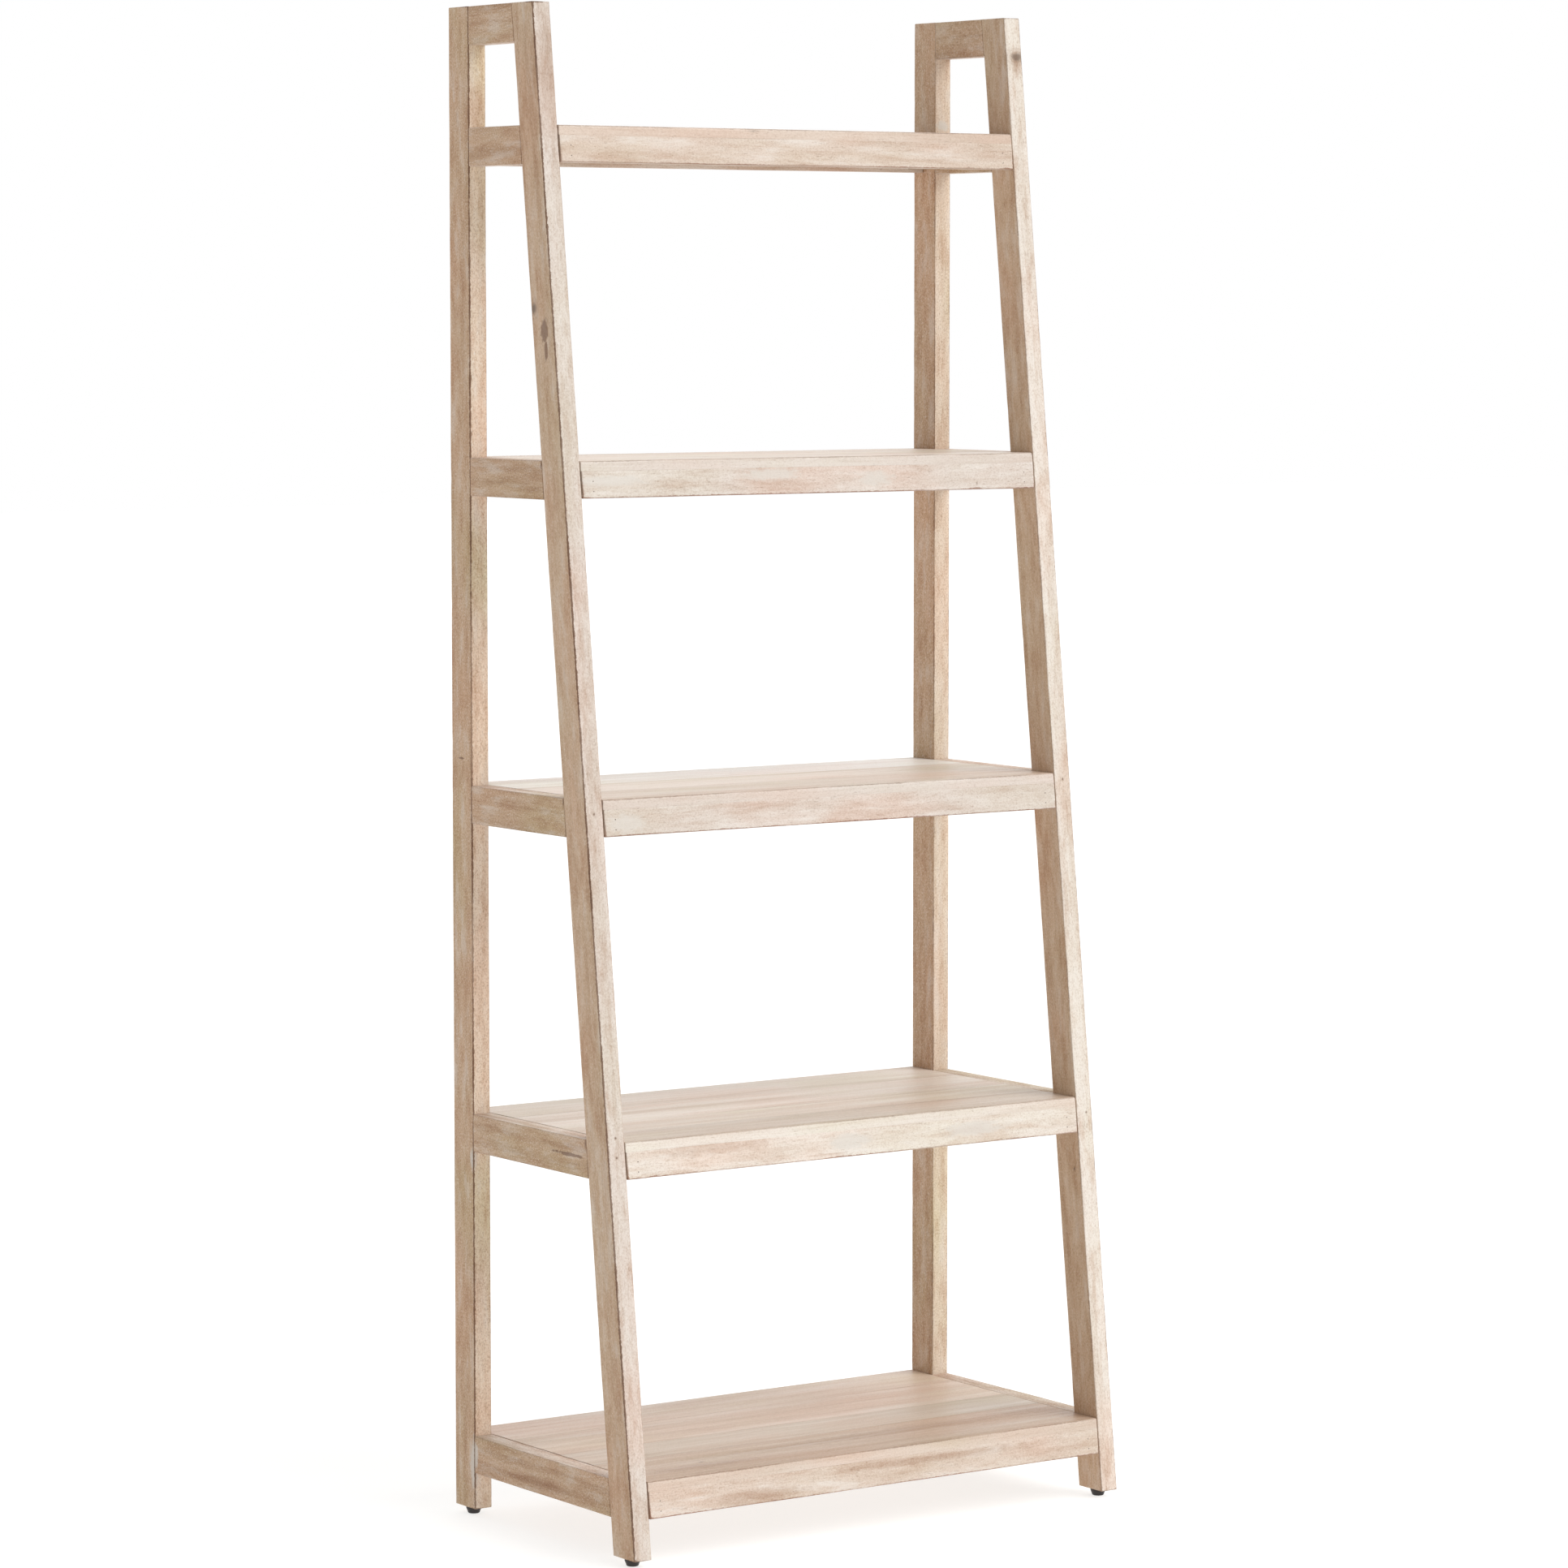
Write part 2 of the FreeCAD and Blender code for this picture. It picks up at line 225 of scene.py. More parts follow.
def outline(width, height, radii):
    """Rounded rectangle as records: corner, offset from it, share of the side tone, distance to
    the arris, and whether it lies on the arc.

    Corners run low-low, high-low, high-high, low-high. An offset is measured inwards."""
    records = []
    for corner, radius in enumerate(radii):
        along_second = corner % 2 == 1
        for step in range(ARC_STEPS + 1):
            angle = math.pi / 2 * step / ARC_STEPS
            first = radius * (1 - math.cos(angle))
            second = radius * (1 - math.sin(angle))
            offset = (second, first) if along_second else (first, second)
            share = step / ARC_STEPS if along_second else 1 - step / ARC_STEPS
            records.append((corner, offset, share, radius * abs(angle - math.pi / 4), True))
        length = height if along_second else width
        for column in face_columns(length):
            nearer_next = column > length / 2
            owner = (corner + 1) % 4 if nearer_next else corner
            inward = length - column if nearer_next else column
            offset = (0.0, inward) if along_second else (inward, 0.0)
            records.append((owner, offset, 1.0 if along_second else 0.0, inward, False))
    return records


def corner_place(record, width, height, growth):
    """Place of an outline record in the section, with its arc's radius scaled by growth."""
    corner, offset, _, _, on_arc = record
    scale = growth if on_arc else 1
    first = offset[0] * scale
    second = offset[1] * scale
    at_high_first = corner in (1, 2)
    at_high_second = corner in (2, 3)
    return (
        width - first if at_high_first else first,
        height - second if at_high_second else second,
    )


def arris_growth(timber, corner, along):
    """How much larger than new an arris is at a place along the piece: rubbed, with a few dents.

    The odd numbers keep the noise of different arrises apart."""
    rub = noise.noise(Vector((along * RUB_RATE, timber.seed + corner * 7.3, 0.5)))
    dent = noise.noise(Vector((along * DENT_RATE, timber.seed * 1.7 + corner * 3.1, 4.2)))
    return 1 + RUB_DEPTH * rub + DENT_DEPTH * max(0.0, dent - DENT_ONSET)


def ring_places(length):
    """Distances along the piece, with the share of the end's rounding by which each ring is drawn in."""
    end = END_ROUND_MM * MM
    behind = END_RING_MM * MM
    start = [(0.0, 1.0), (0.3 * end, 0.3), (end, 0.0), (behind, 0.0)]
    inner = length - 2 * behind
    count = max(2, round(inner / RING_STEP))
    middle = [(behind + inner * step / count, 0.0) for step in range(1, count)]
    return start + middle + [(length - place, drawn_in) for place, drawn_in in reversed(start)]


# Facts of each vertex that the wood materials read: place in the pattern, distance to the nearest
# arris in millimetres, how worn that arris is, distance to the piece's end in millimetres, and tone
FACTS = {
    "grain": "FLOAT_VECTOR",
    "arris": "FLOAT",
    "wear": "FLOAT",
    "end": "FLOAT",
    "base": "FLOAT_COLOR",
}


class Skin:
    """Vertices, faces and facts of a piece while it is being made."""

    def __init__(self):
        self.points = []
        self.faces = []
        self.facts = {name: [] for name in FACTS}

    def add(self, point, **facts):
        self.points.append(point)
        for name, value in facts.items():
            self.facts[name].append(value)
        return len(self.points) - 1


def bow(timber, along, side):
    """How far a piece is off its straight line at a place along it, towards one of its sides."""
    return BOW_MM * MM * noise.noise(Vector((along * BOW_RATE, timber.seed, 11.0 * side)))


def lay_ring(skin, timber, records, along, drawn_in, shrink):
    """Add one cross-section to the skin and return its vertex numbers."""
    axis_a, axis_b = timber.section
    width, height = timber.size(axis_a), timber.size(axis_b)
    length = timber.size(timber.grain)
    inset = drawn_in * END_ROUND_MM * MM
    to_end = min(along, length - along)
    from_rim = (1 - shrink) * min(width, height) / 2
    bow_a, bow_b = bow(timber, along, 1), bow(timber, along, 2)
    ring = []
    for record in records:
        corner, _, share, distance, _ = record
        a, b = corner_place(record, width, height, arris_growth(timber, corner, along))
        a = width / 2 + (a - width / 2) * (1 - 2 * inset / width) * shrink + bow_a
        b = height / 2 + (b - height / 2) * (1 - 2 * inset / height) * shrink + bow_b
        unit = [0.0, 0.0, 0.0]
        unit[timber.grain] = along / length
        unit[axis_a] = a / width
        unit[axis_b] = b / height
        # On uprights and rails the side tone holds painted shade of their side faces
        ring.append(skin.add(
            timber.point(unit),
            grain=timber.pattern_place(a, b, along),
            arris=(min(distance, to_end) if shrink == 1 else from_rim) / MM,
            wear=timber.wear[corner],
            end=to_end / MM,
            base=timber.tone.lerp(timber.side_tone, share),
        ))
    return ring


def quads(first, second):
    """Faces between two rings of equally many vertices."""
    after = first[1:] + first[:1]
    after_second = second[1:] + second[:1]
    return list(zip(first, after, after_second, second))


def timber_skin(timber):
    """Whole surface of a piece: rings along the grain, and a cap of shrinking rings at each end."""
    skin = Skin()
    axis_a, axis_b = timber.section
    radii = [radius * MM for radius in timber.arrises]
    records = outline(timber.size(axis_a), timber.size(axis_b), radii)
    length = timber.size(timber.grain)
    rings = [
        lay_ring(skin, timber, records, along, drawn_in, 1.0)
        for along, drawn_in in ring_places(length)
    ]
    for first, second in zip(rings, rings[1:]):
        skin.faces += quads(first, second)
    caps = []
    for along, rim in ((0.0, rings[0]), (length, rings[-1])):
        for shrink in CAP_SHRINKS:
            inner = lay_ring(skin, timber, records, along, 1.0, shrink)
            caps.append((rim, inner))
            rim = inner
        skin.faces.append(tuple(rim))
    for rim, inner in caps:
        skin.faces += quads(rim, inner)
    return skin


def relative(point, mark):
    """Place of a point seen from a mark's centre, in units of the mark's size along each axis."""
    centre, size = mark
    return Vector((point[axis] - centre[axis]) / size[axis] for axis in range(3))


def seen_from_marks(mesh, marks):
    """Places of all face corners, each seen from the mark that is nearest to its face."""
    seen = []
    for face in mesh.polygons:
        nearest = min(marks, key=lambda mark: relative(face.center, mark).length)
        seen += [relative(mesh.vertices[number].co, nearest) for number in face.vertices]
    return seen


def store(mesh, name, kind, values, domain="POINT"):
    """Write one fact of every vertex, or of every face corner, as a mesh attribute."""
    attribute = mesh.attributes.new(name, kind, domain)
    key = {"FLOAT": "value", "FLOAT_VECTOR": "vector", "FLOAT_COLOR": "color"}[kind]
    flat = []
    for value in values:
        if kind == "FLOAT":
            flat.append(value)
        elif kind == "FLOAT_VECTOR":
            flat.extend(value)
        else:
            flat.extend((*value, 1.0))
    attribute.data.foreach_set(key, flat)


def outward_faces(mesh):
    """Turn every face of a closed mesh outwards."""
    shell = bmesh.new()
    shell.from_mesh(mesh)
    bmesh.ops.recalc_face_normals(shell, faces=shell.faces)
    shell.to_mesh(mesh)
    shell.free()


def in_scene(name, data):
    """New object in the scene."""
    thing = bpy.data.objects.new(name, data)
    bpy.context.scene.collection.objects.link(thing)
    return thing


def finish_piece(name, mesh, material, node, body):
    """Put a made mesh in the scene in place of its CAD node."""
    piece = in_scene(name, mesh)
    mesh.materials.append(material)
    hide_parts(node)
    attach(piece, body)


def timber_piece(timber, material):
    """Make one sawn piece, with the facts and marks that its material reads."""
    skin = timber_skin(timber)
    mesh = bpy.data.meshes.new(timber.node + "_wood")
    mesh.from_pydata(skin.points, [], skin.faces)
    for fact, kind in FACTS.items():
        store(mesh, fact, kind, skin.facts[fact])
    outward_faces(mesh)
    for mark, places in (("knot", KNOTS), ("fill", FILLS), ("stain", STAINS), ("scar", SCARS)):
        if timber.node in places:
            store(mesh, mark, "FLOAT_VECTOR", seen_from_marks(mesh, places[timber.node]), "CORNER")
        else:
            store(mesh, mark, "FLOAT_VECTOR", [FAR] * len(skin.points))
    mesh.shade_smooth()
    finish_piece(timber.node + "_piece", mesh, material, timber.node, "frame")


# ---------------------------------------------------------------- marks in the wood

# Centre and size of each mark, in the shelf's own frame: dark knots and open joints,
# patches of pale filler, soft brown stains, and darker scars
KNOTS = {
    "left_front_leg": [
        ((-0.358, 0.0105, 1.470), (0.010, 0.0065, 0.008)),
        ((-0.346, -0.143, 0.502), (0.0016, 0.010, 0.0016)),
        ((-0.346, -0.145, 0.479), (0.0016, 0.010, 0.0016)),
        ((-0.346, -0.099, 0.880), (0.0016, 0.010, 0.0020)),
    ],
    "right_front_leg": [
        ((0.350, 0.006, 1.782), (0.010, 0.010, 0.007)),
        ((0.349, -0.146, 0.476), (0.0014, 0.010, 0.0014)),
        ((0.347, -0.098, 0.888), (0.0014, 0.010, 0.0016)),
        ((0.334, -0.142, 0.406), (0.010, 0.002, 0.0025)),
    ],
    "shelf_1_board_4": [((-0.217, -0.130, 0.100), (0.004, 0.0016, 0.010))],
    "shelf_4_front_apron": [((0.245, -0.050, 1.256), (0.0012, 0.010, 0.0016))],
    "left_side_rail_2": [((-0.358, -0.096, 0.491), (0.010, 0.0012, 0.005))],
    "left_side_rail_3": [((-0.358, -0.050, 0.891), (0.010, 0.0012, 0.005))],
    "left_side_rail_4": [((-0.358, -0.004, 1.287), (0.010, 0.0012, 0.005))],
}
FILLS = {
    "left_back_post": [
        ((-0.358, 0.158, 0.066), (0.008, 0.0075, 0.034)),
        ((-0.358, 0.158, 0.440), (0.008, 0.005, 0.014)),
    ],
    "left_side_rail_1": [((-0.358, 0.153, 0.076), (0.010, 0.006, 0.018))],
    "right_back_post": [((0.346, 0.155, 1.700), (0.010, 0.010, 0.007))],
    "shelf_4_front_apron": [
        ((-0.290, -0.053, 1.268), (0.050, 0.020, 0.007)),
        ((-0.060, -0.053, 1.272), (0.045, 0.020, 0.008)),
        ((0.090, -0.053, 1.264), (0.030, 0.020, 0.009)),
    ],
    "shelf_3_front_apron": [((-0.300, -0.100, 0.866), (0.028, 0.020, 0.012))],
    "shelf_2_front_apron": [
        ((0.175, -0.146, 0.470), (0.050, 0.020, 0.010)),
        ((-0.012, -0.146, 0.470), (0.032, 0.020, 0.011)),
    ],
}
STAINS = {
    "left_front_leg": [((-0.340, 0.005, 1.745), (0.022, 0.030, 0.085))],
    "left_back_post": [((-0.346, 0.155, 1.712), (0.016, 0.012, 0.030))],
    "right_front_leg": [((0.350, 0.005, 1.772), (0.010, 0.012, 0.014))],
    "left_side_rail_1": [((-0.358, 0.010, 0.068), (0.010, 0.060, 0.009))],
    "shelf_1_front_apron": [
        ((-0.180, -0.190, 0.066), (0.070, 0.020, 0.007)),
        ((0.080, -0.190, 0.080), (0.160, 0.020, 0.005)),
    ],
    "shelf_1_board_4": [
        ((-0.230, -0.150, 0.100), (0.090, 0.012, 0.020)),
        ((0.060, -0.112, 0.100), (0.260, 0.016, 0.020)),
    ],
    "shelf_2_front_apron": [
        ((-0.205, -0.146, 0.480), (0.080, 0.020, 0.009)),
        ((-0.042, -0.146, 0.459), (0.030, 0.020, 0.0035)),
    ],
}
SCARS = {
    "left_front_leg": [
        ((-0.358, -0.0125, 1.445), (0.006, 0.0075, 0.015)),
        ((-0.358, -0.0155, 1.421), (0.006, 0.0045, 0.014)),
    ],
    "left_back_post": [
        ((-0.358, 0.189, 0.934), (0.006, 0.0060, 0.0014)),
        ((-0.358, 0.178, 0.928), (0.006, 0.0060, 0.0014)),
    ],
    "left_side_rail_2": [((-0.358, -0.060, 0.474), (0.006, 0.035, 0.0025))],
}


# ---------------------------------------------------------------- materials

class Nodes:
    """Adds shader nodes to a material and links them."""

    def __init__(self, material):
        material.use_nodes = True
        self.tree = material.node_tree
        self.shader = self.tree.nodes["Principled BSDF"]

    def feed(self, socket, value):
        if isinstance(value, bpy.types.NodeSocket):
            self.tree.links.new(value, socket)
        else:
            socket.default_value = value

    def add(self, kind, inputs, **settings):
        node = self.tree.nodes.new(kind)
        for key, value in settings.items():
            setattr(node, key, value)
        for socket, value in inputs.items():
            self.feed(node.inputs[socket], value)
        return node

    def attribute(self, name, output):
        return self.add("ShaderNodeAttribute", {}, attribute_name=name).outputs[output]

    def object_place(self):
        return self.add("ShaderNodeTexCoord", {}).outputs["Object"]

    def math(self, operation, first, second=0.0):
        node = self.add("ShaderNodeMath", {0: first, 1: second}, operation=operation)
        return node.outputs[0]

    def scaled(self, vector, scale):
        node = self.add("ShaderNodeVectorMath", {0: vector, 1: scale}, operation="MULTIPLY")
        return node.outputs[0]

    def moved(self, vector, shift):
        node = self.add("ShaderNodeVectorMath", {0: vector, 1: shift}, operation="ADD")
        return node.outputs[0]

    def noise(self, vector, scale=1.0, detail=2.0, roughness=0.5, output="Fac"):
        inputs = {"Vector": vector, "Scale": scale, "Detail": detail, "Roughness": roughness}
        return self.add("ShaderNodeTexNoise", inputs).outputs[output]

    def band(self, value, low, high, floor=0.0, ceiling=1.0):
        """0 to 1 (or floor to ceiling) as value goes smoothly from low to high."""
        inputs = {0: value, 1: low, 2: high, 3: floor, 4: ceiling}
        node = self.add("ShaderNodeMapRange", inputs, interpolation_type="SMOOTHSTEP")
        return node.outputs[0]

    def length(self, vector):
        node = self.add("ShaderNodeVectorMath", {0: vector}, operation="LENGTH")
        return node.outputs["Value"]

    def mix(self, factor, first, second, mode="MIX"):
        node = self.tree.nodes.new("ShaderNodeMix")
        node.data_type = "RGBA"
        node.blend_type = mode
        for socket, value in ((0, factor), (6, first), (7, second)):
            self.feed(node.inputs[socket], (*value, 1.0) if isinstance(value, tuple) else value)
        return node.outputs[2]

    def bump(self, height, distance, strength, normal=None):
        inputs = {"Height": height, "Distance": distance, "Strength": strength}
        node = self.add("ShaderNodeBump", inputs)
        if normal:
            self.feed(node.inputs["Normal"], normal)
        return node.outputs["Normal"]

    def finish(self, **inputs):
        for name, value in inputs.items():
            self.feed(self.shader.inputs[name.replace("_", " ")], value)


def new_material(name):
    material = bpy.data.materials.new(name)
    return material, Nodes(material)


# Scales of the noise fields in the materials, per metre across and along the grain
WANDER_SCALE = (14.0, 14.0, 3.5)
BLOTCH_SCALE = (13.0, 13.0, 5.0)
FLECK_SCALE = (640.0, 640.0, 130.0)
GRIT_SCALE = (560.0, 560.0, 420.0)
WEAR_SCALE = (260.0, 260.0, 160.0)
PATCH_SCALE = (8.0, 8.0, 9.0)
FRAY_SCALE = (170.0, 170.0, 80.0)
SCRATCH_SCALE = (900.0, 900.0, 4500.0)

# How far noise bends the grain, in metres, and the outlines of marks, in units of their size
WANDER_REACH = (0.014, 0.014, 0.0)
FRAY_REACH = (1.7, 1.7, 1.7)
KNOT_FRAY = (0.5, 0.5, 0.5)       # share of it on knots, which are crisper
CENTRE_NOISE = (-0.5, -0.5, -0.5)  # makes noise from 0 to 1 bend both ways
KNOT_RING_RATE = 9.0

# Layers of the wood's colour: noise field, the two values between which the layer fades in,
# the entry of the look that gives its strength, and its tint
LAYERS = (
    ("blotch", 0.45, 0.70, "pink", (1.00, 0.90, 0.86)),
    ("blotch", 0.50, 0.28, "olive", (0.92, 0.94, 0.82)),
    ("figure", 0.44, 0.68, "figure", (0.78, 0.70, 0.62)),
    ("mottle", 0.47, 0.72, "mottle", (0.80, 0.68, 0.60)),
    ("strands", 0.46, 0.74, "strands", (0.76, 0.68, 0.60)),
    ("flecks", 0.60, 0.74, "flecks", (0.62, 0.52, 0.45)),
    ("grit", 0.46, 0.70, "grit", (0.70, 0.62, 0.55)),
)


def grain_pattern(nodes, place, look):
    """Noise fields that the wood's colour and relief share, from broad blotches down to grit."""
    wander = nodes.noise(nodes.scaled(place, WANDER_SCALE), output="Color")
    drift = nodes.scaled(nodes.moved(wander, CENTRE_NOISE), WANDER_REACH)
    warped = nodes.moved(place, drift)
    fields = {
        "blotch": (place, BLOTCH_SCALE, 2.0, 0.5),
        "figure": (warped, look["figure_scale"], 3.0, 0.55),
        "mottle": (warped, look["mottle_scale"], 4.0, 0.62),
        "strands": (warped, look["strand_scale"], 3.0, 0.65),
        "flecks": (warped, FLECK_SCALE, 2.0, 0.6),
        "grit": (place, GRIT_SCALE, 3.0, 0.7),
    }
    return {
        name: nodes.noise(nodes.scaled(where, scale), detail=detail, roughness=roughness)
        for name, (where, scale, detail, roughness) in fields.items()
    }


def wood_colour(nodes, base, pattern, look):
    """Bleached wood from its base tone, one tinted layer after another."""
    colour = base
    for field, start, full, strength, tint in LAYERS:
        mask = nodes.band(pattern[field], start, full, 0.0, look[strength])
        colour = nodes.mix(mask, colour, tint, "MULTIPLY")
    chalk = nodes.band(pattern["mottle"], 0.50, 0.30, 0.0, look["chalk"])
    colour = nodes.mix(chalk, colour, CHALK_WHITE)
    dust = nodes.band(pattern["grit"], 0.46, 0.26, 0.0, look["grit"] * 0.6)
    return nodes.mix(dust, colour, DUST_WHITE)


def worn_arrises(nodes, place, colour, bare):
    """Ragged brown lines along the arrises, where the whitewash is rubbed through."""
    ragged = nodes.noise(nodes.scaled(place, WEAR_SCALE), detail=4.0, roughness=0.75)
    patchy = nodes.noise(nodes.scaled(place, PATCH_SCALE))
    wear = nodes.attribute("wear", "Fac")
    reach = nodes.band(wear, 0.0, 1.0, 0.5, 1.15)
    width = nodes.math("MULTIPLY", reach, nodes.band(ragged, 0.30, 0.70, 0.5, 1.9))
    inside = nodes.math("SUBTRACT", width, nodes.attribute("arris", "Fac"))
    rubbed = nodes.band(wear, 0.0, 0.8)
    steady = nodes.math("MULTIPLY", wear, 0.8)
    strength = nodes.math("MULTIPLY", rubbed, nodes.band(patchy, 0.38, 0.58, steady, 1.0))
    line = nodes.math("MULTIPLY", nodes.band(inside, -0.15, 0.35), strength)
    return nodes.mix(line, colour, bare, "MULTIPLY")


def frayed_distance(nodes, mark, fray):
    """Distance from a mark in units of its size, with a ragged outline."""
    return nodes.length(nodes.moved(nodes.attribute(mark, "Vector"), fray))


def marked(nodes, place, colour):
    """Stains, scars and patches of filler, and knots with their rings."""
    fray = nodes.noise(nodes.scaled(place, FRAY_SCALE), detail=4.0, roughness=0.65, output="Color")
    fray = nodes.scaled(nodes.moved(fray, CENTRE_NOISE), FRAY_REACH)
    stain = nodes.band(frayed_distance(nodes, "stain", fray), 1.4, 0.3, 0.0, 0.6)
    colour = nodes.mix(stain, colour, STAIN_TINT, "MULTIPLY")
    scar = nodes.band(frayed_distance(nodes, "scar", fray), 1.15, 0.75, 0.0, 0.92)
    colour = nodes.mix(scar, colour, SCAR_TINT, "MULTIPLY")
    fill = nodes.band(frayed_distance(nodes, "fill", fray), 1.25, 0.5, 0.0, 0.75)
    colour = nodes.mix(fill, colour, FILLER_WHITE)
    knot = frayed_distance(nodes, "knot", nodes.scaled(fray, KNOT_FRAY))
    waves = nodes.math("SINE", nodes.math("MULTIPLY", knot, KNOT_RING_RATE))
    rings = nodes.band(waves, -1.0, 1.0, 0.3, 0.7)
    halo = nodes.math("MULTIPLY", nodes.band(knot, 2.0, 0.9), rings)
    colour = nodes.mix(halo, colour, KNOT_RING_TINT, "MULTIPLY")
    return nodes.mix(nodes.band(knot, 0.95, 0.45, 0.0, 0.8), colour, KNOT_HEART)


def coat_wood(nodes, pattern, colour, look):
    """Matt finish whose relief follows the grain."""
    rough = nodes.band(pattern["mottle"], 0.3, 0.7, look["gloss"][0], look["gloss"][1])
    broad = nodes.bump(pattern["strands"], 0.0005, 0.5)
    holes = nodes.bump(nodes.band(pattern["flecks"], 0.74, 0.60), 0.0003, 0.6, broad)
    relief = nodes.bump(pattern["grit"], 0.0004, 0.7, holes)
    nodes.finish(Base_Color=colour, Roughness=rough, Normal=relief, Specular_IOR_Level=0.45)


def wood(name, look):
    """Material of the made wood pieces, which reads the facts and marks stored on their meshes."""
    material, nodes = new_material(name)
    place = nodes.attribute("grain", "Vector")
    pattern = grain_pattern(nodes, place, look)
    colour = wood_colour(nodes, nodes.attribute("base", "Color"), pattern, look)
    colour = worn_arrises(nodes, place, marked(nodes, place, colour), look["bare"])
    joint = nodes.band(nodes.attribute("end", "Fac"), 1.2, 0.3, 0.0, look["joint"])
    coat_wood(nodes, pattern, nodes.mix(joint, colour, JOINT_TINT, "MULTIPLY"), look)
    return material


def plain_wood(name, base, axes, look):
    """Wood for CAD pieces: the grain runs along the last of axes in the shelf's own frame."""
    material, nodes = new_material(name)
    parts = nodes.add("ShaderNodeSeparateXYZ", {0: nodes.object_place()})
    turned = {socket: parts.outputs[axis] for socket, axis in enumerate(axes)}
    place = nodes.add("ShaderNodeCombineXYZ", turned)
    pattern = grain_pattern(nodes, place.outputs[0], look)
    tone = nodes.mix(nodes.band(pattern["blotch"], 0.3, 0.7), base, BOARD_BROWN)
    coat_wood(nodes, pattern, wood_colour(nodes, tone, pattern, look), look)
    return material


def metal(name, bright, dull, scale):
    """Plated metal with cloudy dulling and fine scratches."""
    material, nodes = new_material(name)
    where = nodes.object_place()
    cloud = nodes.noise(where, scale=scale, detail=4.0, roughness=0.6)
    scratch = nodes.noise(nodes.scaled(where, SCRATCH_SCALE))
    colour = nodes.mix(nodes.band(cloud, 0.35, 0.7), bright, dull)
    rough = nodes.band(cloud, 0.3, 0.7, 0.28, 0.48)
    relief = nodes.bump(scratch, 0.00003, 0.5)
    nodes.finish(Base_Color=colour, Metallic=1.0, Roughness=rough, Normal=relief)
    return material


def moulded_plastic(name):
    """Dark moulded plastic with a fine matt texture and slightly cloudy colour."""
    material, nodes = new_material(name)
    where = nodes.object_place()
    cloud = nodes.noise(where, scale=420.0, detail=3.0)
    fine = nodes.noise(where, scale=4200.0, detail=2.0)
    colour = nodes.mix(nodes.band(cloud, 0.3, 0.75), (0.013, 0.009, 0.008), (0.030, 0.022, 0.019))
    rough = nodes.band(cloud, 0.3, 0.7, 0.38, 0.55)
    nodes.finish(Base_Color=colour, Roughness=rough, Normal=nodes.bump(fine, 0.00006, 0.6))
    return material


# ---------------------------------------------------------------- wooden pieces

# A look gives the scales of its noise fields, per metre across and along the grain, the strength
# of each colour layer, how dark the joints at its ends are, its roughness from and to, and the
# tint of its bare arrises
SAWN = {
    "figure_scale": (70.0, 70.0, 3.0),
    "mottle_scale": (75.0, 75.0, 20.0),
    "strand_scale": (420.0, 420.0, 34.0),
    "pink": 0.70,
    "olive": 0.95,
    "figure": 0.45,
    "mottle": 0.75,
    "strands": 0.45,
    "flecks": 0.60,
    "grit": 0.95,
    "chalk": 0.25,
    "joint": 0.0,
    "gloss": (0.52, 0.68),
    "bare": SAWN_BARE,
}
BRUSHED = SAWN | {
    "mottle_scale": (60.0, 60.0, 9.0),
    "pink": 0.9,
    "olive": 0.25,
    "figure": 0.30,
    "mottle": 0.70,
    "strands": 0.30,
    "flecks": 0.55,
    "grit": 0.55,
    "chalk": 0.50,
    "bare": BRUSHED_BARE,
}
PLANED = SAWN | {
    "figure_scale": (20.0, 20.0, 1.2),
    "mottle_scale": (55.0, 55.0, 3.0),
    "strand_scale": (380.0, 380.0, 9.0),
    "pink": 0.6,
    "olive": 0.5,
    "figure": 0.75,
    "mottle": 0.25,
    "strands": 0.35,
    "flecks": 0.45,
    "grit": 0.35,
    "chalk": 0.20,
    "gloss": (0.36, 0.50),
}
POST_WOOD = wood("post_wood", SAWN)
LEG_WOOD = wood("leg_wood", SAWN | {"pink": 0.80, "olive": 0.30, "flecks": 0.45, "grit": 0.62})
RAIL_WOOD = wood("rail_wood", SAWN | {"joint": 0.22, "figure": 0.80})
BOARD_WOOD = wood("board_wood", PLANED)
APRON_WOOD = wood("apron_wood", BRUSHED)
BATTEN_WOOD = plain_wood("batten_wood", BATTEN_TAN, (0, 2, 1), PLANED)

# Tone of each board, from the back one to the front one, for every shelf from the bottom up
BOARD_TONES = (
    (BOARD_PINK, BOARD_PINK, BOARD_BUFF, BOARD_BROWN),
    (BOARD_CREAM, BOARD_CREAM, BOARD_SAND, BOARD_BUFF),
    # The third shelf's back board has a painted highlight as its tone
    (BOARD_PAINTED_HIGHLIGHT, BOARD_CREAM, BOARD_SAND),
    (BOARD_CREAM, BOARD_CREAM, BOARD_CREAM),
    (BOARD_CREAM, BOARD_CREAM),
)
APRON_TONES = (CREAM, WHITE_CREAM, PALE_CREAM, PALE_CREAM, CREAM)

# Front tones of the uprights
POST_TONES = {"left": WARM_CREAM, "right": BUFF_CREAM}
LEG_TONES = {"left": PALE_CREAM, "right": WHITE_CREAM}

# Wear of a piece's four arrises, in the order of outline()'s corners. The outer front arris of
# each upright is rubbed most on the left frame.
POST_WEAR = {"left": (0.8, 0.35, 0.15, 0.15), "right": (0.45, 0.50, 0.15, 0.15)}
LEG_WEAR = {"left": (1.0, 0.35, 0.15, 0.15), "right": (0.45, 0.50, 0.15, 0.15)}
RAIL_WEAR = (0.40, 0.40, 0.20, 0.20)
BOARD_WEAR = (0.10, 0.10, 0.15, 0.40)
FRONT_APRON_WEAR = (0.6, 0.12, 0.08, 0.08)
BACK_APRON_WEAR = (0.12, 0.6, 0.08, 0.08)


def clear_flange(timber):
    """Lift the lower end of an upright off the face of its foot insert."""
    low, high = timber.z
    timber.z = (low + FLANGE_MM * MM, high)


